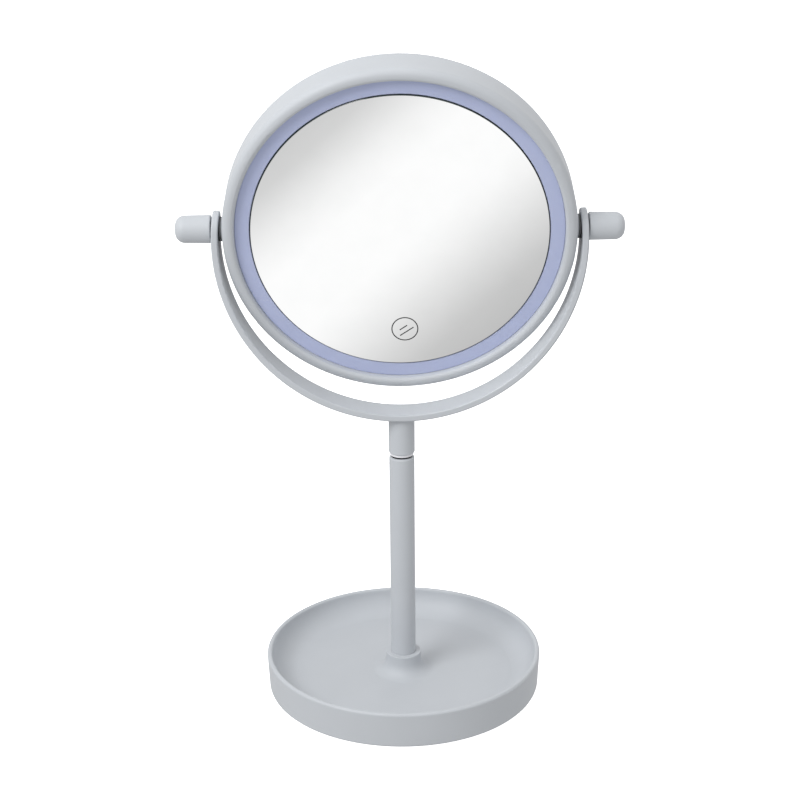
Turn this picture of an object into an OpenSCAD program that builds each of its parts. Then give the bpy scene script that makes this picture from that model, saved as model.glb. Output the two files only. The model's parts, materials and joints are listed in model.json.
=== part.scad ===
// Lighted vanity mirror on a round tray base.
// Millimetres, +Z up. The origin is on the standing surface, on the stem's axis. The glass faces -Y.
// The head is drawn in its own frame: its +Z leaves the glass, +Y points up the glass, and its origin
// is on the tilt axis.

/* [Head] */
// Outer radius of the mirror head
head_r = 100; // [97:0.5:103]
// Height of the lip's crest in front of the tilt axis
lip_crest = 13.6; // [13:0.1:14.2]
// Depth of the back face behind the tilt axis
back_depth = 15.9; // [15.9:0.1:18]
// Distance of the parting line behind the tilt axis
parting = 7.9; // [7.8:0.1:8.4]
// Wall thickness of the two head shells
shell_t = 2.4; // [2:0.1:2.6]
// Radius of the mirror glass
glass_r = 84.3; // [83:0.1:85]
// Thickness of the mirror glass
glass_t = 3; // [2:0.5:3]
// Height of the glass face in front of the tilt axis
glass_face = 9.8; // [9.4:0.1:10]
// Visible width of the light ring
light_w = 8.8; // [8:0.2:9]
// Number of light-emitting diodes
led_count = 60; // [30:6:72]
// Forward tilt of the head at rest
head_tip = 13.5; // [-20:0.5:20]

/* [Yoke] */
// Height of the tilt axis above the standing surface
pivot_z = 288.1; // [280:0.1:300]
// Gap between the head and the yoke at the tilt axis
yoke_gap = 2.6; // [2.2:0.1:3]
// Thickness of the yoke strip
yoke_t = 3.9; // [3.5:0.1:5]
// Width of the yoke strip
yoke_w = 21; // [19:0.5:23]
// Drop from the tilt axis to the centre of the yoke's arc
yoke_drop = 7.3; // [5:0.1:10]
// Diameter of the tilt shafts
shaft_d = 6; // [5:0.5:7]
// Largest diameter of a side knob
knob_d = 16.1; // [14:0.1:18]
// Length of a side knob
knob_len = 20.4; // [16:0.2:24]

/* [Stem] */
// Height of the swivel gap
swivel_z = 150.5; // [140:0.1:155]
// Diameter of the lower tube
tube_d = 15.1; // [14:0.1:16]
// Diameter of the socket under the yoke
socket_d = 15.5; // [14.8:0.1:17]
// Diameter of the swivel pin
pin_d = 8; // [7:0.5:8.5]

/* [Base] */
// Outer radius of the base at its rim
base_r = 83.9; // [78:0.1:90]
// Height of the base's rim
base_h = 22.9; // [21:0.1:26]
// Height of the tray's floor
floor_z = 7.2; // [6.6:0.1:8]
// Width of the rim's rounded top
rim_w = 3.1; // [2.6:0.1:4]
// Diameter of the collar around the stem
collar_d = 21.8; // [20:0.1:24]
// Height of the collar's top
collar_z = 20.2; // [19:0.1:23]

/* [Hidden] */
$fn = 128;

// Clearances between pieces that move apart, and between a shaft and its bore.
move_gap = 0.3;
run_gap = 0.05;
cut = 1;

// Head shells.
lip_in_r = glass_r + light_w;
lip_out_fillet = 4;
lip_in_fillet = 2.2;
lip_rib_t = 2;
shelf_z = glass_face - glass_t - 0.9;
shelf_t = 1.8;
shelf_hole_r = 34;
trough_z = 1.6;
trough_t = 1.6;
step_t = 1.95;
cover_r = head_r - 0.3;
cover_fillet = 6;
spigot_gap = 0.2;
spigot_t = 1.9;
spigot_h = 2.6;
groove_in_r = lip_in_r + lip_rib_t;

// Screws that hold the rear cover.
cover_screw_n = 6;
cover_screw_ring = 86;
cover_screw_first = 30;
boss_r = 4.2;
screw_r = 1.3;
screw_head_r = 2.7;
screw_head_h = 2;
screw_seat = 3.6;

// Light ring.
tray_gap = 0.35;
tray_wall = 1;
tray_floor = 0.8;
tray_top = 7.6;
diffuser_top = glass_face - 0.4;
led_board_t = 1;
led_size = 2.8;
led_h = 0.8;
light_mid_r = glass_r + light_w / 2;

// Touch sensor and control board, both below the middle of the glass.
wire_r = 0.6;
wire_bend = 2;
led_lead_x = 14;
led_lead_y = 88;
touch_x = 2.4;
touch_y = -61;
touch_r = 8;
touch_t = 0.8;
board_w = 44;
board_h = 20;
board_t = 1.4;
board_y = -56;
board_z = -4.4;
post_r = 2.6;
post_x = board_w / 2 - 4;
plug_h = 1.6;
battery_lead_x = [-10, -6];
sensor_lead_x = [touch_x - 1.5, touch_x + 1.5];
sensor_lead_y = touch_y - 2;

// Battery compartment.
cell_r = 7.1;
cell_len = 49;
cell_pitch = 14.6;
cell_n = 4;
cell_z = -6.4;
bay_y = 4;
bay_w = 60;
bay_h = cell_n * cell_pitch + 1;
bay_wall = 1.6;
bay_floor_z = cell_z + cell_r + 0.2;
bay_floor_t = 1.2;
door_margin = 3;
door_t = 2;
door_w = bay_w + 2 * door_margin;
door_h = bay_h + 2 * door_margin;
door_corner = 5;
ledge_t = 1.6;
contact_t = 0.5;

// Tilt pivots, measured along the tilt axis from the middle of the head.
shaft_r = shaft_d / 2;
yoke_in_r = head_r + yoke_gap;
yoke_out_r = yoke_in_r + yoke_t;
plate_t = 1.5;
plate_w = 18;
plate_x = groove_in_r + 0.1;
plate_low = spigot_h + 0.3 - parting;
plate_high = 6.5;
flange_t = 0.7;
bush_wall = 1.5;
bush_out = 0.1;
collar_r = 6.8;
seat_x = head_r - 0.4;
knob_x = yoke_out_r + bush_out + move_gap;
knob_fillet = 5.6;
knob_draft = 0.2;
shaft_end_x = knob_x + knob_len - 7;

// Yoke and swivel.
arc_z = pivot_z - yoke_drop;
arm_rise = asin(yoke_drop / (yoke_in_r + yoke_t / 2));
strip_fillet = 0.9;
gap_h = 2.4;
swivel_washer_t = 1.2;
tube_r = tube_d / 2;
tube_wall = 1.2;
tube_top = swivel_z - gap_h / 2;
socket_bottom = swivel_z + gap_h / 2;
socket_r = socket_d / 2;
bush_len = 24;
bush_z = tube_top - bush_len;
bush_top = socket_bottom - swivel_washer_t - move_gap;
clip_t = 1.1;
pin_tail = 4;
pin_top = socket_bottom + 19;

// Base, from the standing surface up.
pad_t = 1;
pad_w = 14;
cover_plate_t = 1.6;
wall_bottom = 0.8;
wall_taper = 0.9;
foot_fillet = 1.6;
tray_t = 2;
bowl_fillet = base_h - rim_w / 2 - floor_z;
bowl_r = base_r - rim_w;
tray_under = floor_z - tray_t;
well_r = base_r - wall_taper - 3.3;
plate_z = pad_t + cover_plate_t;
ballast_r = well_r - 11;
ballast_hole_r = 10;
base_screw_ring = well_r - 6;
base_screw_n = 4;
base_screw_first = 45;
base_screw_r = 2.8;
base_screw_h = 1.4;
base_screw_len = 6;
base_boss_r = 3.5;
hub_web_z = 9;
hub_web_t = 2.2;
hub_well_r = 8.2;
hub_flare = 8;
tube_foot = hub_web_z + hub_web_t;
washer_t = 1.2;
washer_r = 7.5;
bolt_r = 3;
bolt_head_r = 5.5;
bolt_head_h = 3;
insert_h = 23;

// ---- shared shapes ----

// A ring, or a disc where r_in is 0, from height z0 to height z1.
module ring(r_in, r_out, z0, z1) {
    translate([0, 0, z0])
        difference() {
            cylinder(r = r_out, h = z1 - z0);
            if (r_in > 0)
                translate([0, 0, -cut]) cylinder(r = r_in, h = z1 - z0 + 2 * cut);
        }
}

// The same ring, lying along X from x0 to x1.
module ring_x(r_in, r_out, x0, x1) {
    rotate([0, 90, 0]) ring(r_in, r_out, x0, x1);
}

// A flat rectangle from one corner to the opposite one.
module span(low, high) {
    translate(low) square(high - low);
}

// A flat rectangle with rounded corners.
module soft_span(low, high, r) {
    span([low[0] + r, low[1]], [high[0] - r, high[1]]);
    span([low[0], low[1] + r], [high[0], high[1] - r]);
    for (x = [low[0] + r, high[0] - r], y = [low[1] + r, high[1] - r])
        translate([x, y]) circle(r = r, $fn = 48);
}

// A block from one corner to the opposite one.
module block(low, high) {
    translate(low) cube(high - low);
}

// Copies in a circle around Z.
module around(count, radius, first = 0) {
    for (i = [0 : count - 1])
        rotate([0, 0, first + i * 360 / count]) translate([radius, 0, 0]) children();
}

// The piece and its mirror image on the other side of the tilt axis.
module both_sides() {
    children();
    mirror([1, 0, 0]) children();
}

// Puts a piece drawn in the head's own frame in its place.
module in_head() {
    translate([0, 0, pivot_z]) rotate([90 + head_tip, 0, 0]) children();
}

// ---- base ----

module foot_pad() {
    color("dimgray") ring(well_r - 1 - pad_w, well_r - 1, 0, pad_t);
}

// Copies at the places of the screws under the base.
module at_base_screws() {
    around(base_screw_n, base_screw_ring, base_screw_first) children();
}

module base_screw(grow = 0) {
    translate([0, 0, pad_t]) {
        cylinder(r1 = base_screw_r + grow, r2 = screw_r + grow, h = base_screw_h);
        cylinder(r = screw_r + grow, h = base_screw_len + grow);
    }
}

module bottom_cover() {
    color("gainsboro")
        difference() {
            ring(0, well_r - 0.2, pad_t, plate_z);
            at_base_screws() base_screw(run_gap);
            at_base_screws() ring(0, base_screw_r + run_gap, pad_t - cut, pad_t + 0.01);
        }
}

module base_screws() {
    color("silver") at_base_screws() base_screw();
}

module ballast_plate() {
    color("dimgray") ring(ballast_hole_r, ballast_r, plate_z, tray_under - 0.1);
}

module tray_outline() {
    outer_low = base_r - wall_taper;
    rim_z = base_h - rim_w / 2;
    polygon([[0, wall_bottom], [outer_low - foot_fillet, wall_bottom],
             [outer_low, wall_bottom + foot_fillet], [base_r, rim_z], [0, rim_z]]);
    translate([outer_low - foot_fillet, wall_bottom + foot_fillet]) circle(r = foot_fillet, $fn = 48);
    translate([base_r - rim_w / 2, rim_z]) circle(r = rim_w / 2, $fn = 48);
}

module bowl_outline() {
    bowl_top = base_h + cut;
    span([0, floor_z], [bowl_r - bowl_fillet, bowl_top]);
    span([0, floor_z + bowl_fillet], [bowl_r, bowl_top]);
    translate([bowl_r - bowl_fillet, floor_z + bowl_fillet]) circle(r = bowl_fillet);
}

module hub_outline() {
    r = collar_d / 2;
    soft = 0.5;
    difference() {
        union() {
            span([0, tray_under], [r, collar_z - soft]);
            span([0, tray_under], [r - soft, collar_z]);
            translate([r - soft, collar_z - soft]) circle(r = soft, $fn = 48);
            span([0, tray_under], [r + hub_flare, floor_z + hub_flare]);
        }
        translate([r + hub_flare, floor_z + hub_flare]) circle(r = hub_flare);
    }
}

module base_tray() {
    color("#C5C9CF")
        difference() {
            union() {
                rotate_extrude()
                    union() {
                        difference() {
                            tray_outline();
                            bowl_outline();
                            span([0, 0], [well_r, tray_under]);
                        }
                        hub_outline();
                    }
                at_base_screws() ring(0, base_boss_r, plate_z, tray_under + 0.5);
            }
            at_base_screws() ring(0, screw_r + run_gap, plate_z - cut, pad_t + base_screw_len + 0.2);
            ring(0, tube_r + 0.1, tube_foot, collar_z + cut);
            ring(0, bolt_r + 0.2, hub_web_z - cut, tube_foot + cut);
            ring(0, hub_well_r, tray_under - cut, hub_web_z);
        }
}

module stem_bolt() {
    under_head = hub_web_z - washer_t;
    color("silver") {
        ring(0, bolt_head_r, under_head - bolt_head_h, under_head);
        ring(0, bolt_r, under_head, tube_foot + insert_h - 3);
    }
}

module stem_washer() {
    color("silver") ring(bolt_r + 0.2, washer_r, hub_web_z - washer_t, hub_web_z);
}

module foot_insert() {
    color("goldenrod")
        ring(bolt_r + run_gap, tube_r - tube_wall, tube_foot, tube_foot + insert_h);
}

module lower_tube() {
    soft = 1.1;
    color("#C5C9CF")
        rotate_extrude()
            union() {
                span([tube_r - tube_wall, tube_foot], [tube_r, tube_top - soft]);
                translate([tube_r - soft, tube_top - soft])
                    intersection() {
                        circle(r = soft, $fn = 48);
                        span([soft - tube_wall, 0], [soft, soft]);
                    }
                span([tube_r - tube_wall, tube_foot], [tube_r - soft, tube_top]);
            }
}

module swivel_bush() {
    color("#26272A") {
        ring(pin_d / 2 + run_gap, tube_r - tube_wall, bush_z, tube_top);
        ring(pin_d / 2 + run_gap, tube_r - 1.8, tube_top, bush_top);
    }
}

// ---- yoke ----

module swivel_pin() {
    color("silver") ring(0, pin_d / 2, bush_z - pin_tail, pin_top);
}

module swivel_washer() {
    color("#E6E6F0")
        ring(pin_d / 2 + run_gap, socket_r - 0.7, socket_bottom - swivel_washer_t, socket_bottom);
}

module pin_clip() {
    top = bush_z - move_gap;
    color("dimgray") ring(pin_d / 2, tube_r - tube_wall - 0.4, top - clip_t, top);
}

module upper_socket() {
    chamfer = 0.7;
    color("#C5C9CF")
        difference() {
            union() {
                translate([0, 0, socket_bottom])
                    cylinder(r1 = socket_r - chamfer, r2 = socket_r, h = chamfer);
                translate([0, 0, socket_bottom + chamfer])
                    cylinder(r = socket_r, h = arc_z - yoke_in_r - socket_bottom);
            }
            ring(0, pin_d / 2, socket_bottom - cut, pin_top);
            translate([0, yoke_w, arc_z]) rotate([90, 0, 0]) cylinder(r = yoke_out_r, h = 2 * yoke_w);
        }
}

module strip_outline() {
    soft_span([yoke_in_r, -yoke_w / 2], [yoke_out_r, yoke_w / 2], strip_fillet);
}

// The full-round end of an arm: half a disc with the strip's own rounded edges, above the X axis.
module arm_end() {
    rotate([0, 90, 0]) rotate([0, 0, 90])
        rotate_extrude(angle = 180)
            union() {
                span([0, yoke_in_r], [yoke_w / 2 - strip_fillet, yoke_out_r]);
                span([0, yoke_in_r + strip_fillet], [yoke_w / 2, yoke_out_r - strip_fillet]);
                for (x = [yoke_in_r + strip_fillet, yoke_out_r - strip_fillet])
                    translate([yoke_w / 2 - strip_fillet, x]) circle(r = strip_fillet, $fn = 48);
            }
}

module yoke_band() {
    color("#C5C9CF")
        difference() {
            union() {
                translate([0, 0, arc_z]) rotate([-90, 0, 0]) rotate([0, 0, -arm_rise])
                    rotate_extrude(angle = 180 + 2 * arm_rise) strip_outline();
                translate([0, 0, arc_z]) both_sides() rotate([0, -arm_rise, 0]) arm_end();
            }
            translate([0, 0, pivot_z])
                both_sides() {
                    ring_x(0, shaft_r + bush_wall, yoke_in_r - cut, yoke_out_r + cut);
                    ring_x(0, collar_r + 0.25, yoke_in_r - 2 * cut, yoke_in_r);
                }
        }
}

module pivot_bush() {
    color("#26272A")
        translate([0, 0, pivot_z]) {
            ring_x(shaft_r + run_gap, collar_r + 0.2, yoke_in_r - flange_t, yoke_in_r);
            ring_x(shaft_r + run_gap, shaft_r + bush_wall, yoke_in_r, yoke_out_r + bush_out);
        }
}

module pivot_bush_right() {
    pivot_bush();
}

module pivot_bush_left() {
    mirror([1, 0, 0]) pivot_bush();
}

// ---- head: shells ----

module lip_outline() {
    crest_r = head_r - lip_out_fillet;
    base_z = lip_crest - lip_out_fillet;
    intersection() {
        translate([crest_r, base_z]) circle(r = lip_out_fillet, $fn = 96);
        span([crest_r, base_z], [head_r, lip_crest]);
    }
    span([lip_in_r + lip_in_fillet, base_z], [crest_r, lip_crest]);
    span([lip_in_r, base_z], [crest_r, lip_crest - lip_in_fillet]);
    translate([lip_in_r + lip_in_fillet, lip_crest - lip_in_fillet])
        circle(r = lip_in_fillet, $fn = 48);
}

module housing_outline() {
    step_r = glass_r + tray_gap;
    lip_outline();
    span([head_r - shell_t, -parting], [head_r, lip_crest - lip_out_fillet]);
    span([lip_in_r, trough_z - trough_t], [groove_in_r, lip_crest - lip_out_fillet]);
    span([step_r - step_t, trough_z - trough_t], [groove_in_r, trough_z]);
    span([step_r - step_t, trough_z - trough_t], [step_r, shelf_z]);
    span([shelf_hole_r, shelf_z - shelf_t], [step_r, shelf_z]);
}

// Holes for the two leads of the light ring's board.
module led_lead_holes() {
    for (x = [-1, 1] * led_lead_x)
        translate([x, -led_lead_y, 0])
            ring(0, wire_r + 0.4, trough_z - trough_t - cut, trough_z + tray_floor + cut);
}

module front_housing() {
    boss_top = trough_z - trough_t + 0.5;
    color("#C5C9CF")
        in_head()
            difference() {
                union() {
                    rotate_extrude($fn = 256) housing_outline();
                    around(cover_screw_n, cover_screw_ring, cover_screw_first)
                        ring(0, boss_r, -parting, boss_top);
                }
                around(cover_screw_n, cover_screw_ring, cover_screw_first)
                    ring(0, screw_r + run_gap, -parting - cut, boss_top - 1.2);
                both_sides() ring_x(0, collar_r + 0.2, seat_x, head_r + cut);
                both_sides() ring_x(0, shaft_r + 0.1, head_r - shell_t - cut, head_r);
                translate([touch_x, touch_y, 0]) ring(0, 4, shelf_z - shelf_t - cut, shelf_z + cut);
                led_lead_holes();
            }
}

module cover_outline() {
    side_z = cover_fillet - back_depth;
    mid_r = cover_r - cover_fillet;
    difference() {
        union() {
            span([0, -back_depth], [mid_r, -parting - 0.2]);
            span([0, side_z], [cover_r, -parting - 0.2]);
            translate([mid_r, side_z]) circle(r = cover_fillet, $fn = 96);
        }
        span([0, shell_t - back_depth], [mid_r, 0]);
        span([0, side_z], [cover_r - shell_t, 0]);
        translate([mid_r, side_z]) circle(r = cover_fillet - shell_t, $fn = 96);
        span([0, -parting - 0.2], [head_r, 0]);
    }
    spigot_r = head_r - shell_t - spigot_gap;
    span([spigot_r - spigot_t, -parting - 0.5], [spigot_r, spigot_h - parting]);
    span([spigot_r - spigot_t, -parting - 0.5], [cover_r - shell_t, -parting - 0.2]);
}

// A plate with the battery door's outline, grown by a margin on every side.
module door_plate(margin, z0, z1) {
    half = [door_w / 2 + margin, door_h / 2 + margin];
    translate([0, bay_y, z0])
        linear_extrude(height = z1 - z0) soft_span(-half, half, door_corner + margin);
}

// A block in the bay's place, grown by a margin on every side.
module bay_block(margin, z0, z1) {
    block([-bay_w / 2 - margin, bay_y - bay_h / 2 - margin, z0],
          [bay_w / 2 + margin, bay_y + bay_h / 2 + margin, z1]);
}

module rear_cover() {
    inside_z = shell_t - back_depth;
    ledge_z = door_t - back_depth + move_gap;
    bay_top = bay_floor_z + bay_floor_t;
    color("#C5C9CF")
        in_head()
            difference() {
                union() {
                    rotate_extrude($fn = 256) cover_outline();
                    around(cover_screw_n, cover_screw_ring, cover_screw_first)
                        ring(0, boss_r, inside_z - 0.2, -parting - 0.05);
                    bay_block(bay_wall, ledge_z, bay_top);
                    bay_block(door_margin + bay_wall, ledge_z, ledge_z + ledge_t);
                    for (x = [-1, 1])
                        translate([x * post_x, board_y, 0])
                            ring(0, post_r, inside_z - 0.2, board_z - board_t);
                }
                bay_block(0, -back_depth - cut, bay_floor_z);
                door_plate(move_gap, -back_depth - cut, ledge_z);
                around(cover_screw_n, cover_screw_ring, cover_screw_first) {
                    ring(0, screw_r + 0.3, -back_depth - cut, 0);
                    ring(0, screw_head_r + 0.4, -back_depth - cut, screw_seat - back_depth);
                }
                for (x = [-1, 1])
                    translate([x * post_x, board_y, 0]) ring(0, 1.05, inside_z + 1, board_z);
                // Way through for the battery leads, at the top of the bay's lower wall.
                block([battery_lead_x[0] - 2, bay_y - bay_h / 2 - bay_wall - cut, bay_floor_z - 3],
                      [battery_lead_x[1] + 2, bay_y - bay_h / 2 + cut, bay_floor_z]);
            }
}

module cover_screws() {
    seat_z = screw_seat - back_depth;
    color("silver")
        in_head()
            around(cover_screw_n, cover_screw_ring, cover_screw_first)
                difference() {
                    union() {
                        ring(0, screw_head_r, seat_z - screw_head_h, seat_z);
                        ring(0, screw_r, seat_z, trough_z - trough_t - 1.5);
                    }
                    for (turn = [0, 90])
                        rotate([0, 0, turn])
                            block([-1.7, -0.35, seat_z - screw_head_h - cut],
                                  [1.7, 0.35, seat_z - screw_head_h + 1.1]);
                }
}

// ---- head: mirror and light ----

module mirror_glass() {
    color("#E8ECEE") in_head() ring(0, glass_r, glass_face - glass_t, glass_face);
}

module glass_tape() {
    color("white")
        in_head()
            difference() {
                ring(shelf_hole_r + 2, glass_r - 3, shelf_z, glass_face - glass_t);
                translate([touch_x, touch_y, 0]) ring(0, touch_r + 1, shelf_z - cut, glass_face);
            }
}

module diffuser_ring() {
    edge = 0.5;
    color("#AAB2D4")
        in_head()
            rotate_extrude($fn = 256)
                soft_span([glass_r + tray_gap, tray_top], [lip_in_r - 0.05, diffuser_top], edge);
}

module light_tray() {
    in_r = glass_r + tray_gap;
    out_r = lip_in_r - 0.1;
    color("white")
        in_head()
            difference() {
                union() {
                    ring(in_r, out_r, trough_z, trough_z + tray_floor);
                    ring(in_r, in_r + tray_wall, trough_z + tray_floor, tray_top);
                    ring(out_r - tray_wall, out_r, trough_z + tray_floor, tray_top);
                }
                led_lead_holes();
            }
}

module led_board() {
    low = trough_z + tray_floor;
    color("ivory")
        in_head()
            ring(glass_r + tray_gap + tray_wall + 0.1, lip_in_r - tray_wall - 0.2, low,
                 low + led_board_t);
}

module led_chips() {
    low = trough_z + tray_floor + led_board_t;
    half = led_size / 2;
    color("gold")
        in_head()
            around(led_count, light_mid_r)
                block([-half, -half, low], [half, half, low + led_h]);
}

// ---- head: electronics ----

module touch_sensor() {
    top = glass_face - glass_t;
    color("goldenrod") in_head() translate([touch_x, touch_y, 0]) ring(0, touch_r, top - touch_t, top);
}

module control_board() {
    color("darkgreen")
        in_head()
            difference() {
                block([-board_w / 2, board_y - board_h / 2, board_z - board_t],
                      [board_w / 2, board_y + board_h / 2, board_z]);
                for (x = [-1, 1])
                    translate([x * post_x, board_y, 0])
                        ring(0, screw_r, board_z - board_t - cut, board_z + cut);
            }
}

module board_parts() {
    color("#26272A")
        in_head()
            translate([0, board_y, board_z]) {
                block([-6, -5, 0], [2, 3, 1.6]);
                block([5, -4, 0], [9, 0, 1.2]);
                translate([8, 5, 0]) cylinder(r = 2.5, h = 5);
                block([battery_lead_x[0] - 3, 4, 0], [battery_lead_x[1] + 1, 8, plug_h]);
            }
}

module board_screws() {
    color("silver")
        in_head()
            for (x = [-1, 1])
                translate([x * post_x, board_y, 0]) {
                    ring(0, 2.2, board_z, board_z + 1.4);
                    ring(0, 1, board_z - 6, board_z);
                }
}

// A wire in a plane of constant x: it leaves (y0, z0) along Z, bends once, and runs along Y to y1 at z1.
module wire(x, y0, z0, y1, z1) {
    down = z1 > z0 ? -1 : 1;
    on = y1 > y0 ? 1 : -1;
    translate([x, y0, min(z0, z1 + down * wire_bend)])
        cylinder(r = wire_r, h = abs(z0 - z1) - wire_bend);
    translate([x, y0 + on * wire_bend, z1 + down * wire_bend])
        rotate([0, 90, 0])
            rotate([0, 0, down > 0 ? (on > 0 ? -90 : 0) : (on > 0 ? 180 : 90)])
                rotate_extrude(angle = 90) translate([wire_bend, 0]) circle(r = wire_r, $fn = 24);
    translate([x, y0 + on * wire_bend, z1]) rotate([on > 0 ? -90 : 90, 0, 0])
        cylinder(r = wire_r, h = abs(y1 - y0) - wire_bend);
}

module lead_wires() {
    bay_wall_y = bay_y - bay_h / 2 - bay_wall;
    color("firebrick")
        in_head() {
            for (x = battery_lead_x)
                wire(x, board_y + 7, board_z + plug_h, bay_wall_y, bay_floor_z - 1);
            for (x = [-1, 1] * led_lead_x)
                wire(x, -led_lead_y, trough_z + tray_floor, board_y - 4, board_z + wire_r);
            for (x = sensor_lead_x)
                translate([x, sensor_lead_y, board_z])
                    cylinder(r = wire_r, h = glass_face - glass_t - touch_t - board_z);
        }
}

// ---- head: batteries ----

// Places one child per cell, turned end for end from one cell to the next.
module each_cell() {
    for (i = [0 : cell_n - 1])
        translate([0, bay_y + (i - (cell_n - 1) / 2) * cell_pitch, cell_z])
            mirror([i % 2, 0, 0]) children();
}

module battery_cells() {
    nub_r = 2.7;
    color("slategray")
        in_head()
            each_cell() {
                ring_x(0, cell_r, -cell_len / 2, cell_len / 2 - 1.2);
                ring_x(0, nub_r, cell_len / 2 - 1.2, cell_len / 2);
            }
}

module contact_springs() {
    wall_x = bay_w / 2 - contact_t;
    color("silver")
        in_head()
            each_cell()
                for (step = [0 : 2])
                    ring_x(2.2 - 0.4 * step, 4.4 - 0.4 * step, -wall_x + 1.6 * step,
                           -wall_x + 1.6 * step + 1.6);
}

module contact_plates() {
    half = 5.5;
    wall_x = bay_w / 2;
    color("silver")
        in_head()
            each_cell() {
                block([-wall_x, -half, -half], [contact_t - wall_x, half, half]);
                block([cell_len / 2, -half, -half], [cell_len / 2 + contact_t, half, half]);
                block([cell_len / 2 + contact_t, -2, -half], [wall_x, 2, half]);
            }
}

module battery_door() {
    low_y = bay_y - door_h / 2;
    lug_y = bay_h / 2 - move_gap;
    inner_z = door_t - back_depth;
    notch_r = 8;
    color("#C5C9CF")
        in_head()
            difference() {
                union() {
                    door_plate(0, -back_depth, inner_z);
                    for (x = [-18, 18], side = [-1, 1])
                        translate([x, bay_y + side * (lug_y - 0.7), 0])
                            block([-4, -0.7, inner_z - 0.2], [4, 0.7, inner_z + 2.4]);
                }
                // Thumb notch and grip grooves.
                translate([0, low_y, 0]) ring(0, notch_r, -back_depth - cut, 0.8 - back_depth);
                for (line = [0 : 4])
                    block([-12, low_y + 14 + 3 * line, -back_depth - cut],
                          [12, low_y + 15 + 3 * line, 0.5 - back_depth]);
            }
}

// ---- head: tilt pivots ----

module pivot_plates() {
    color("silver")
        in_head()
            both_sides()
                difference() {
                    block([plate_x, -plate_w / 2, plate_low],
                          [plate_x + plate_t, plate_w / 2, plate_high]);
                    ring_x(0, shaft_r, plate_x - cut, plate_x + plate_t + cut);
                }
}

module pivot_shafts() {
    color("silver") in_head() both_sides() ring_x(0, shaft_r, plate_x, shaft_end_x);
}

module pivot_collars() {
    color("#C5C9CF")
        in_head() both_sides() ring_x(shaft_r, collar_r, seat_x, yoke_in_r - flange_t - move_gap);
}

module knob() {
    r = knob_d / 2;
    end_r = r - knob_draft;
    color("#C5C9CF")
        in_head()
            difference() {
                translate([knob_x, 0, 0]) rotate([0, 90, 0])
                    rotate_extrude()
                        union() {
                            polygon([[0, 0], [r - 0.4, 0], [r, 0.4], [end_r, knob_len - knob_fillet],
                                     [0, knob_len - knob_fillet]]);
                            span([0, 0], [end_r - knob_fillet, knob_len]);
                            translate([end_r - knob_fillet, knob_len - knob_fillet])
                                intersection() {
                                    circle(r = knob_fillet);
                                    span([0, 0], [knob_fillet, knob_fillet]);
                                }
                        }
                ring_x(0, shaft_r, knob_x - cut, shaft_end_x);
            }
}

module knob_right() {
    knob();
}

module knob_left() {
    mirror([1, 0, 0]) knob();
}

foot_pad();
bottom_cover();
base_screws();
ballast_plate();
base_tray();
stem_bolt();
stem_washer();
foot_insert();
lower_tube();
swivel_bush();
swivel_pin();
pin_clip();
swivel_washer();
upper_socket();
yoke_band();
pivot_bush_left();
pivot_bush_right();
front_housing();
rear_cover();
cover_screws();
mirror_glass();
glass_tape();
diffuser_ring();
light_tray();
led_board();
led_chips();
touch_sensor();
control_board();
board_parts();
board_screws();
lead_wires();
battery_cells();
contact_springs();
contact_plates();
battery_door();
pivot_plates();
pivot_shafts();
pivot_collars();
knob_left();
knob_right();
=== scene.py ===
"""The lighted vanity mirror's looks: finishes, fine pieces, studio and camera around the CAD frame."""
import json
import math

import bmesh
import bpy
from mathutils import Matrix, Vector


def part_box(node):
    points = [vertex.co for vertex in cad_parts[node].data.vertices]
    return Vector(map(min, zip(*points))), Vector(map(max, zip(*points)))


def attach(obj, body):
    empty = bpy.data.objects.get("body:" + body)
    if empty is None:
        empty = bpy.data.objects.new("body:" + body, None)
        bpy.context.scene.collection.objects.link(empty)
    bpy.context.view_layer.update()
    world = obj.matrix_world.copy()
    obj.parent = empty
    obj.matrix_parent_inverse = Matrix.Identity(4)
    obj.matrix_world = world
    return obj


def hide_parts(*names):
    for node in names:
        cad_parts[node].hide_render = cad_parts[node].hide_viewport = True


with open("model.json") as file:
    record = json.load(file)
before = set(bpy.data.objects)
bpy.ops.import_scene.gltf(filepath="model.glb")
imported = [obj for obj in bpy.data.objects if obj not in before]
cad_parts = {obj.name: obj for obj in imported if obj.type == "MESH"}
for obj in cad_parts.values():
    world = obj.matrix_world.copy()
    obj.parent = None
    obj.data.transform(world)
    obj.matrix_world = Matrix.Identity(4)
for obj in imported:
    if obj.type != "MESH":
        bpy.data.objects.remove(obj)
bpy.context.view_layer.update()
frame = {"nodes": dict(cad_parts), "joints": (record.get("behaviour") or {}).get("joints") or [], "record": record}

MM = 0.001
# Points of a new mesh that are closer than this become one.
MERGE = 0.000001
nodes = frame["nodes"]
joints = {j["name"]: j for j in frame["joints"]}

# ---- places taken from the frame ----

pivot = Vector(joints["head_tilt"]["pos_m"])
head_back = Vector(joints["door_lift"]["axis"]).normalized()
head_front = -head_back
head_right = Vector((1, 0, 0))
head_up = head_front.cross(head_right)
head_matrix = Matrix((head_right, head_up, head_front)).transposed().to_4x4()
head_matrix.translation = pivot


def head_reach_x(node):
    """(radius round the tilt axis, lowest x, highest x) of a node in the head's own frame."""
    inverse = head_matrix.inverted()
    points = [inverse @ v.co for v in nodes[node].data.vertices]
    return max(math.hypot(p.y, p.z) for p in points), min(p.x for p in points), max(p.x for p in points)


def head_reach(node):
    """(radius, lowest z, highest z) of a node in the head's own frame, where +Z leaves the glass."""
    inverse = head_matrix.inverted()
    points = [inverse @ v.co for v in nodes[node].data.vertices]
    radius = max(math.hypot(p.x, p.y) for p in points)
    return radius, min(p.z for p in points), max(p.z for p in points)


# ---- node materials ----

SHELL = (0.535, 0.560, 0.592)
LAVENDER = (0.480, 0.530, 0.745)
INK = (0.030, 0.031, 0.033)


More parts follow.
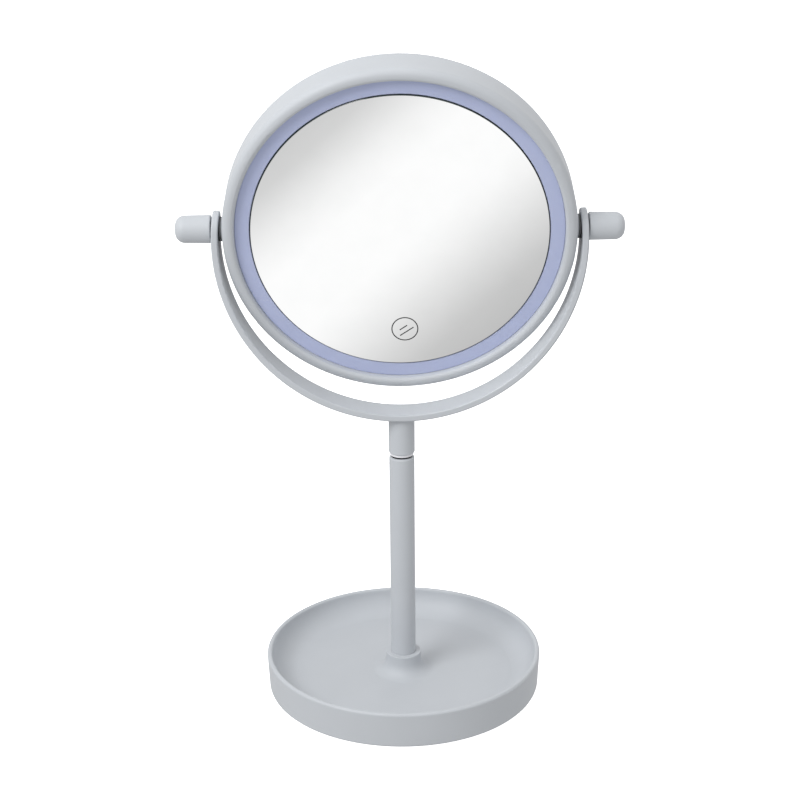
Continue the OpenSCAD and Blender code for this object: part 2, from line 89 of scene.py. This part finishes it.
class Graph:
    """A material's node tree, with short calls for the nodes that the finishes share."""

    def __init__(self, name):
        self.material = bpy.data.materials.new(name)
        self.material.use_nodes = True
        self.tree = self.material.node_tree
        self.shader = self.tree.nodes["Principled BSDF"]
        self.coords = self.add("ShaderNodeTexCoord").outputs["Object"]

    def add(self, kind, **settings):
        node = self.tree.nodes.new(kind)
        for key, value in settings.items():
            setattr(node, key, value)
        return node

    def link(self, output, socket):
        self.tree.links.new(output, socket)

    def set(self, **values):
        for key, value in values.items():
            self.shader.inputs[key.replace("_", " ")].default_value = value

    def noise(self, size_m, detail=2.0, rough=0.5, stretch=None):
        """Noise whose features are about size_m across, fixed to the piece."""
        coords = self.coords
        if stretch:
            mapping = self.add("ShaderNodeMapping")
            mapping.inputs["Scale"].default_value = stretch
            self.link(coords, mapping.inputs["Vector"])
            coords = mapping.outputs["Vector"]
        node = self.add("ShaderNodeTexNoise")
        node.inputs["Scale"].default_value = 1 / size_m
        node.inputs["Detail"].default_value = detail
        node.inputs["Roughness"].default_value = rough
        self.link(coords, node.inputs["Vector"])
        return node.outputs["Fac"]

    def spread(self, factor, low, high, start=0.3, end=0.7):
        """A number from low to high as factor goes from start to end."""
        node = self.add("ShaderNodeMapRange")
        for key, value in (("From Min", start), ("From Max", end), ("To Min", low), ("To Max", high)):
            node.inputs[key].default_value = value
        self.link(factor, node.inputs["Value"])
        return node.outputs["Result"]

    def tint(self, factor, low, high, start=0.3, end=0.7):
        """A colour from low to high as factor goes from start to end."""
        ramp = self.add("ShaderNodeValToRGB")
        first, last = ramp.color_ramp.elements
        first.position, first.color = start, (*low, 1)
        last.position, last.color = end, (*high, 1)
        self.link(factor, ramp.inputs["Fac"])
        return ramp.outputs["Color"]

    def bump(self, height, depth_m, strength=1.0, under=None):
        node = self.add("ShaderNodeBump")
        node.inputs["Strength"].default_value = strength
        node.inputs["Distance"].default_value = depth_m
        self.link(height, node.inputs["Height"])
        if under is not None:
            self.link(under, node.inputs["Normal"])
        return node.outputs["Normal"]


def shade(colour, factor):
    return tuple(min(1.0, c * factor) for c in colour)


def finish(name, colour, rough=(0.4, 0.5), vary=0.03, blotch=0.02, grain=0.0004, depth=0.00001,
           stretch=None, **shader):
    """A finish with soft colour blotches, uneven gloss and a fine surface grain."""
    g = Graph(name)
    wide = g.noise(blotch, detail=3, stretch=stretch)
    fine = g.noise(grain, detail=2, stretch=stretch)
    g.link(g.tint(wide, shade(colour, 1 - vary), shade(colour, 1 + vary)), g.shader.inputs["Base Color"])
    g.link(g.spread(wide, rough[1], rough[0]), g.shader.inputs["Roughness"])
    g.link(g.bump(fine, depth), g.shader.inputs["Normal"])
    g.set(**shader)
    return g.material


def soft_paint():
    """Soft-touch paint: a very fine even grain over a slow wave, dull but with a wide sheen."""
    g = Graph("soft_paint")
    wide = g.noise(0.03, detail=2)
    fine = g.noise(0.00045, detail=3, rough=0.6)
    wave = g.noise(0.004, detail=1)
    g.link(g.tint(wide, shade(SHELL, 0.985), shade(SHELL, 1.015)), g.shader.inputs["Base Color"])
    g.link(g.spread(fine, 0.46, 0.56), g.shader.inputs["Roughness"])
    under = g.bump(wave, 0.00002, strength=0.5)
    g.link(g.bump(fine, 0.000012, strength=0.6, under=under), g.shader.inputs["Normal"])
    g.set(Specular_IOR_Level=0.4, Sheen_Weight=0.12, Sheen_Roughness=0.5)
    return g.material


def powder_coat():
    """Powder coat on metal: an orange-peel skin under a slightly tighter gloss."""
    g = Graph("powder_coat")
    wide = g.noise(0.025, detail=2)
    peel = g.noise(0.0011, detail=1)
    fine = g.noise(0.0003, detail=2)
    g.link(g.tint(wide, shade(SHELL, 0.98), shade(SHELL, 1.01)), g.shader.inputs["Base Color"])
    g.link(g.spread(peel, 0.38, 0.47), g.shader.inputs["Roughness"])
    under = g.bump(peel, 0.00004, strength=0.5)
    g.link(g.bump(fine, 0.00001, strength=0.4, under=under), g.shader.inputs["Normal"])
    g.set(Specular_IOR_Level=0.45)
    return g.material


def diffuser():
    """Opal plastic with a violet-blue cast: light goes a little way in and comes back even."""
    g = Graph("opal_diffuser")
    wide = g.noise(0.02, detail=1)
    fine = g.noise(0.0006, detail=2)
    g.link(g.tint(wide, shade(LAVENDER, 0.985), shade(LAVENDER, 1.015)), g.shader.inputs["Base Color"])
    g.link(g.spread(fine, 0.32, 0.40), g.shader.inputs["Roughness"])
    g.link(g.bump(fine, 0.000008, strength=0.4), g.shader.inputs["Normal"])
    g.set(Subsurface_Weight=0.2, Subsurface_Scale=0.002, Subsurface_Radius=(0.8, 0.9, 1.0))
    return g.material


def mirror_face():
    """Silvered glass: nearly perfect, with the faintest haze."""
    g = Graph("mirror_face")
    haze = g.noise(0.015, detail=3)
    g.link(g.tint(haze, (0.965, 0.970, 0.968), (0.985, 0.988, 0.987)), g.shader.inputs["Base Color"])
    g.link(g.spread(haze, 0.0, 0.012), g.shader.inputs["Roughness"])
    g.set(Metallic=1.0)
    return g.material


def glass_edge():
    """The polished edge of the glass, dark green-grey because the backing shows through it."""
    return finish("glass_edge", (0.035, 0.050, 0.052), rough=(0.05, 0.12), vary=0.2, blotch=0.006,
                  Specular_IOR_Level=0.6)


def brushed(name, colour, rough, stretch=(1, 1, 14)):
    return finish(name, colour, rough=rough, vary=0.08, blotch=0.004, grain=0.0005, depth=0.000006,
                  stretch=stretch, Metallic=1.0)


paint = soft_paint()
coat = powder_coat()
black = finish("black_nylon", (0.012, 0.012, 0.014), rough=(0.38, 0.5), vary=0.15)
zinc = brushed("zinc_steel", (0.62, 0.62, 0.63), (0.25, 0.38))
dark_steel = brushed("dark_steel", (0.14, 0.14, 0.15), (0.35, 0.5))
brass = brushed("brass", (0.60, 0.42, 0.17), (0.2, 0.35))
copper = finish("battery_band", (0.50, 0.22, 0.09), rough=(0.22, 0.32), vary=0.08, blotch=0.006, Metallic=0.7)
white = finish("white_plastic", (0.82, 0.82, 0.86), rough=(0.4, 0.5), vary=0.02)
MATERIAL_OF_SLOT = {
    "shell_plastic": paint,
    "painted_metal": coat,
    "mirror_glass": mirror_face(),
    "light_diffuser": diffuser(),
    "white_plastic": white,
    "black_bush": black,
    "screw_steel": zinc,
    "raw_steel": dark_steel,
    "brass": brass,
    "green_board": finish("green_board", (0.008, 0.09, 0.03), rough=(0.25, 0.4), vary=0.25, blotch=0.003),
    "white_board": finish("white_board", (0.80, 0.80, 0.76), rough=(0.3, 0.4), vary=0.03, blotch=0.004),
    "led_phosphor": finish("led_phosphor", (0.85, 0.66, 0.10), rough=(0.15, 0.25), vary=0.06, blotch=0.002),
    "wire_red": finish("wire_red", (0.36, 0.012, 0.010), rough=(0.35, 0.45), vary=0.1, blotch=0.004),
    "battery_wrap": finish("battery_wrap", (0.035, 0.052, 0.085), rough=(0.2, 0.3), vary=0.15, blotch=0.008),
    "foam_tape": finish("foam_tape", (0.78, 0.78, 0.75), rough=(0.8, 0.95), vary=0.06, grain=0.0003,
                        depth=0.00008),
    "rubber_pad": finish("rubber_pad", (0.016, 0.016, 0.018), rough=(0.7, 0.85), vary=0.15, grain=0.0005,
                         depth=0.00006),
}


def paint_frame():
    """Gives every CAD node the finish of its material slot."""
    for part in frame["record"]["subparts"]:
        target = nodes[part["node"]]
        target.data.materials.clear()
        target.data.materials.append(MATERIAL_OF_SLOT[part["material_slot"]])


# ---- fine pieces ----

def new_piece(name, mesh, *finishes):
    """Merges the mesh's doubled points, turns its faces outwards and puts it in the scene."""
    work = bmesh.new()
    work.from_mesh(mesh)
    bmesh.ops.remove_doubles(work, verts=work.verts, dist=MERGE)
    bmesh.ops.recalc_face_normals(work, faces=work.faces)
    work.to_mesh(mesh)
    work.free()
    for one in finishes:
        mesh.materials.append(one)
    piece = bpy.data.objects.new(name, mesh)
    bpy.context.scene.collection.objects.link(piece)
    return piece


def lathe(name, outline, *finishes, steps=256, slots=None):
    """Turns a closed outline of (radius, z) points round Z; slots gives each outline edge its finish."""
    count = len(outline)
    vertices = []
    for i in range(steps):
        angle = 2 * math.pi * i / steps
        vertices += [(r * math.cos(angle), r * math.sin(angle), z) for r, z in outline]
    faces = []
    for i in range(steps):
        here, there = i * count, (i + 1) % steps * count
        for k in range(count):
            m = (k + 1) % count
            faces.append((here + k, there + k, there + m, here + m))
    mesh = bpy.data.meshes.new(name)
    mesh.from_pydata(vertices, [], faces)
    if slots:
        mesh.polygons.foreach_set("material_index", list(slots) * steps)
    return new_piece(name, mesh, *finishes)


def in_head(piece):
    """Moves a piece drawn in the head's own frame to its place, and lets it ride on the head."""
    piece.data.transform(head_matrix)
    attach(piece, "head")


def lay_along_x(piece, place, flip=False):
    """Turns a piece drawn along Z to +X, or to -X, and moves it to a place in the head's own frame."""
    quarter = math.radians(-90 if flip else 90)
    piece.data.transform(Matrix.Translation(place) @ Matrix.Rotation(quarter, 4, "Y"))


GLASS_BEVEL = 0.35 * MM


def mirror_pane():
    """The glass: a silvered face inside a narrow polished bevel, a dark edge and a painted back."""
    radius, back, face = head_reach("mirror_glass")
    outline = [(0, face), (radius - GLASS_BEVEL, face), (radius, face - GLASS_BEVEL), (radius, back),
               (0, back)]
    backing = finish("mirror_backing", (0.16, 0.17, 0.18), rough=(0.45, 0.6), vary=0.1)
    pane = lathe("mirror_pane", outline, mirror_face(), glass_edge(), backing, slots=(0, 1, 1, 2, 2))
    in_head(pane)
    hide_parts("mirror_glass")


def raised_line(points, width, low, high):
    """Corners and faces of a straight bar with square ends between two flat points."""
    start, end = Vector((*points[0], 0)), Vector((*points[1], 0))
    side = Vector((start.y - end.y, end.x - start.x, 0)).normalized() * width / 2
    flat = [start - side, end - side, end + side, start + side]
    corners = [(p.x, p.y, z) for z in (low, high) for p in flat]
    faces = [(3, 2, 1, 0), (4, 5, 6, 7)] + [(k, (k + 1) % 4, (k + 1) % 4 + 4, k + 4) for k in range(4)]
    return corners, faces


# The print lies in the glass by its sunk depth and stands out by its raised height.
MARK_SUNK = 0.01 * MM
MARK_RAISED = 0.04 * MM
MARK_LINE = 0.66 * MM
MARK_RADIUS = 7.85 * MM
# The two ends of each stroke from the mark's centre, in mm.
SHORT_STROKE = ((-3.0, -0.7), (1.3, 2.4))
LONG_STROKE = ((-2.8, -4.5), (5.0, 1.1))


def touch_icon():
    """The printed mark of the touch switch: a thin circle round a short and a long slanted stroke."""
    face = head_reach("mirror_glass")[2]
    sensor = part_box("touch_sensor")
    centre = head_matrix.inverted() @ ((Vector(sensor[0]) + Vector(sensor[1])) / 2)
    low, high = face - MARK_SUNK, face + MARK_RAISED
    inner = MARK_RADIUS - MARK_LINE
    ink = finish("black_ink", INK, rough=(0.35, 0.5), vary=0.2, blotch=0.002)
    ring = [(inner, low), (MARK_RADIUS, low), (MARK_RADIUS, high), (inner, high)]
    mark = lathe("touch_icon", ring, ink, steps=96)
    work = bmesh.new()
    work.from_mesh(mark.data)
    for stroke in (SHORT_STROKE, LONG_STROKE):
        corners, faces = raised_line([(x * MM, y * MM) for x, y in stroke], MARK_LINE, low, high)
        made = [work.verts.new(c) for c in corners]
        for face_corners in faces:
            work.faces.new([made[k] for k in face_corners])
    work.to_mesh(mark.data)
    work.free()
    mark.data.transform(Matrix.Translation((centre.x, centre.y, 0)))
    in_head(mark)


CELL_COUNT = 4
# The sleeve's rolled lip, the edges' rounding, the dished ends, the copper band and the plus end's nub.
CELL_LIP = 0.9 * MM
CELL_ROLL = 0.35 * MM
CELL_DISH = 0.15 * MM
CELL_BAND = 11 * MM
NUB_RADIUS = 2.7 * MM
NUB_RISE = 1.2 * MM


def battery_cell(radius, half):
    """One cell along Z: a sleeve with a copper band, rolled in over steel ends, and a capped nub."""
    shoulder = half - NUB_RISE
    lip = radius - CELL_LIP
    flat = lip - CELL_ROLL
    minus_end = [(0, CELL_DISH - half), (flat, CELL_DISH - half), (lip, -half), (radius - CELL_ROLL, -half),
                 (radius, CELL_ROLL - half)]
    sleeve = [(radius, shoulder - CELL_BAND), (radius, shoulder - CELL_ROLL), (radius - CELL_ROLL, shoulder),
              (lip, shoulder)]
    plus_end = [(flat, shoulder - CELL_DISH), (NUB_RADIUS + CELL_ROLL, shoulder - CELL_DISH),
                (NUB_RADIUS, shoulder + CELL_DISH), (NUB_RADIUS, half - CELL_ROLL),
                (NUB_RADIUS - CELL_ROLL, half), (0, half)]
    steel, wrap, band = 0, 1, 2
    slots = [steel] + 4 * [wrap] + 4 * [band] + 6 * [steel]
    return lathe("battery_cell", minus_end + sleeve + plus_end, zinc, MATERIAL_OF_SLOT["battery_wrap"],
                 copper, steps=96, slots=slots)


SPRING_TIP = 3.2 * MM
SPRING_GAP = 0.1 * MM
WIRE_RADIUS = 0.35 * MM
SPRING_TURNS = 4


def conical_spring(wide, narrow, length, wire):
    """A round wire wound in a tapering helix along Z, with its wide end at 0."""
    steps_per_turn, sides = 32, 10
    steps = SPRING_TURNS * steps_per_turn
    vertices = []
    for i in range(steps + 1):
        t = i / steps
        angle = 2 * math.pi * SPRING_TURNS * t
        out = Vector((math.cos(angle), math.sin(angle), 0))
        rise = Vector((0, 0, wire + (length - 2 * wire) * t))
        centre = (wide + (narrow - wide) * t - wire) * out + rise
        for k in range(sides):
            turn = 2 * math.pi * k / sides
            vertices.append(centre + wire * (math.cos(turn) * out + math.sin(turn) * Vector((0, 0, 1))))
    faces = [tuple(range(sides)), tuple(range(steps * sides, (steps + 1) * sides))]
    for i in range(steps):
        for k in range(sides):
            here, m = i * sides, (k + 1) % sides
            faces.append((here + k, here + m, here + sides + m, here + sides + k))
    mesh = bpy.data.meshes.new("contact_spring")
    mesh.from_pydata(vertices, [], faces)
    return new_piece("contact_spring", mesh, zinc)


def battery_row():
    """The cells and their springs, each cell turned end for end from the one before it."""
    inverse = head_matrix.inverted()
    cells = [inverse @ v.co for v in nodes["battery_cells"].data.vertices]
    springs = [inverse @ v.co for v in nodes["contact_springs"].data.vertices]
    low_z, high_z = min(p.z for p in cells), max(p.z for p in cells)
    low_y, high_y = min(p.y for p in cells), max(p.y for p in cells)
    radius = (high_z - low_z) / 2
    half = max(p.x for p in cells)
    wall = max(p.x for p in springs)
    wide = (max(p.z for p in springs) - min(p.z for p in springs)) / 2
    pitch = (high_y - low_y - 2 * radius) / (CELL_COUNT - 1)
    for i in range(CELL_COUNT):
        flip = i % 2 == 1
        place = Vector((0, low_y + radius + i * pitch, (low_z + high_z) / 2))
        cell = battery_cell(radius, half)
        lay_along_x(cell, place, flip)
        in_head(cell)
        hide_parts("battery_cells")
        spring = conical_spring(wide, SPRING_TIP, wall - half - SPRING_GAP, WIRE_RADIUS)
        lay_along_x(spring, place + Vector((wall if flip else -wall, 0, 0)), flip)
        in_head(spring)
        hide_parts("contact_springs")


# Size and place of the black rings of painted shade at the pivot collars, which stand in for the shadow gap there.
SHADE_RING_T = 0.15 * MM
SHADE_RING_LONG = 0.5 * MM
SHADE_RING_GAP = 0.2 * MM


def pivot_shade_rings():
    """A thin black ring round each pivot collar, just short of its outer end: painted shade that stands in for the
    shadow gap between the collar and the yoke.
    """
    collar_r, _, collar_end = head_reach_x("pivot_collars")
    high = collar_end - SHADE_RING_GAP
    low = high - SHADE_RING_LONG
    outside = collar_r + SHADE_RING_T
    for flip in (False, True):
        # The ring uses the black nylon finish as painted shade.
        shade_ring = lathe("pivot_shade_ring", [(collar_r, low), (outside, low), (outside, high), (collar_r, high)],
                     black, steps=96)
        lay_along_x(shade_ring, Vector((0, 0, 0)), flip)
        in_head(shade_ring)


paint_frame()
mirror_pane()
touch_icon()
battery_row()
pivot_shade_rings()

# ---- studio ----

FOCAL_PX = 1704.0
PICTURE_PX = 800.0
SENSOR_MM = 36.0
CAMERA_DISTANCE = 1.000
CAMERA_PITCH = math.radians(19.61)
AIM_HEIGHT = 0.1843
CAMERA_SIDE = -0.0008
CAMERA_ROLL = math.radians(-0.50)


def make_camera():
    data = bpy.data.cameras.new("camera")
    data.sensor_width = SENSOR_MM
    data.lens = FOCAL_PX * SENSOR_MM / PICTURE_PX
    camera = bpy.data.objects.new("camera", data)
    bpy.context.scene.collection.objects.link(camera)
    aim = Vector((CAMERA_SIDE, 0, AIM_HEIGHT))
    away = Vector((0, -math.cos(CAMERA_PITCH), math.sin(CAMERA_PITCH)))
    turn = away.to_track_quat("Z", "Y").to_matrix().to_4x4()
    camera.matrix_world = (Matrix.Translation(aim + CAMERA_DISTANCE * away) @ turn
                           @ Matrix.Rotation(CAMERA_ROLL, 4, "Z"))
    bpy.context.scene.camera = camera


FLOOR_R = 12.0
FLOOR_T = 0.02


def make_floor():
    """A white floor that only the camera sees, so that the world alone sets the light from below."""
    paper = finish("floor_paper", (0.85, 0.85, 0.85), rough=(0.8, 0.9), vary=0.01, blotch=0.3, grain=0.002,
                   depth=0.00002, Specular_IOR_Level=0.0, Emission_Color=(1, 1, 1, 1), Emission_Strength=1.0)
    floor = lathe("floor", [(0, -FLOOR_T), (FLOOR_R, -FLOOR_T), (FLOOR_R, 0), (0, 0)], paper, steps=96)
    floor.visible_glossy = False
    floor.visible_diffuse = False


FILL = 0.64
BACKDROP = 1.05

# The card that the glass reflects: a white band across a grey sweep, given by direction.
BAND_NORMAL = (0.651, 0.551, -0.522)
BAND_CENTRE = -0.088
BAND_REACH = 0.25
BAND_STOPS = ((0.0, 0.62), (0.25, 0.42), (0.39, 0.66), (0.44, 0.93), (0.50, 1.06), (0.56, 0.99),
              (0.61, 0.79), (0.66, 0.57), (0.78, 0.42), (1.0, 0.62))
# The card fades in below the horizon between these heights of the direction.
CARD_START = -0.05
CARD_FULL = -0.30


def make_world():
    """Even light for the surfaces, and a white backdrop over the card for what is seen or reflected."""
    world = bpy.data.worlds.new("studio")
    bpy.context.scene.world = world
    world.use_nodes = True
    tree = world.node_tree
    background = tree.nodes["Background"]
    coords = tree.nodes.new("ShaderNodeTexCoord")
    dot = tree.nodes.new("ShaderNodeVectorMath")
    dot.operation = "DOT_PRODUCT"
    dot.inputs[1].default_value = BAND_NORMAL
    tree.links.new(coords.outputs["Generated"], dot.inputs[0])
    place = tree.nodes.new("ShaderNodeMapRange")
    place.inputs["From Min"].default_value = BAND_CENTRE - BAND_REACH
    place.inputs["From Max"].default_value = BAND_CENTRE + BAND_REACH
    tree.links.new(dot.outputs["Value"], place.inputs["Value"])
    ramp = tree.nodes.new("ShaderNodeValToRGB")
    ramp.color_ramp.interpolation = "B_SPLINE"
    while len(ramp.color_ramp.elements) < len(BAND_STOPS):
        ramp.color_ramp.elements.new(0.5)
    for element, (position, level) in zip(ramp.color_ramp.elements, BAND_STOPS):
        element.position = position
        element.color = (level, level, level, 1)
    tree.links.new(place.outputs["Result"], ramp.inputs["Fac"])
    split = tree.nodes.new("ShaderNodeSeparateXYZ")
    tree.links.new(coords.outputs["Generated"], split.inputs[0])
    below = tree.nodes.new("ShaderNodeMapRange")
    below.inputs["From Min"].default_value = CARD_START
    below.inputs["From Max"].default_value = CARD_FULL
    tree.links.new(split.outputs["Z"], below.inputs["Value"])
    mix = tree.nodes.new("ShaderNodeMix")
    mix.data_type = "RGBA"
    mix.inputs["A"].default_value = (BACKDROP, BACKDROP, BACKDROP, 1)
    tree.links.new(below.outputs["Result"], mix.inputs["Factor"])
    tree.links.new(ramp.outputs["Color"], mix.inputs["B"])
    path = tree.nodes.new("ShaderNodeLightPath")
    fill = tree.nodes.new("ShaderNodeMix")
    fill.data_type = "RGBA"
    fill.inputs["B"].default_value = (FILL, FILL, FILL, 1)
    tree.links.new(path.outputs["Is Diffuse Ray"], fill.inputs["Factor"])
    tree.links.new(mix.outputs["Result"], fill.inputs["A"])
    tree.links.new(fill.outputs["Result"], background.inputs["Color"])
    background.inputs["Strength"].default_value = 1.0


LIT_POINT = (0, 0, 0.19)


def softbox(name, place, size, watts):
    """A round soft light at a place, turned to the middle of the mirror."""
    data = bpy.data.lights.new(name, "AREA")
    data.shape = "DISK"
    data.size = size
    data.energy = watts
    light = bpy.data.objects.new(name, data)
    bpy.context.scene.collection.objects.link(light)
    light.location = place
    light.rotation_euler = (Vector(place) - Vector(LIT_POINT)).to_track_quat("Z", "Y").to_euler()


make_camera()
make_floor()
make_world()
softbox("key", place=(-0.85, -0.85, 1.25), size=0.9, watts=14)
softbox("top", place=(0.10, 0.10, 1.70), size=0.8, watts=1.5)
bpy.context.scene.view_settings.view_transform = "Standard"
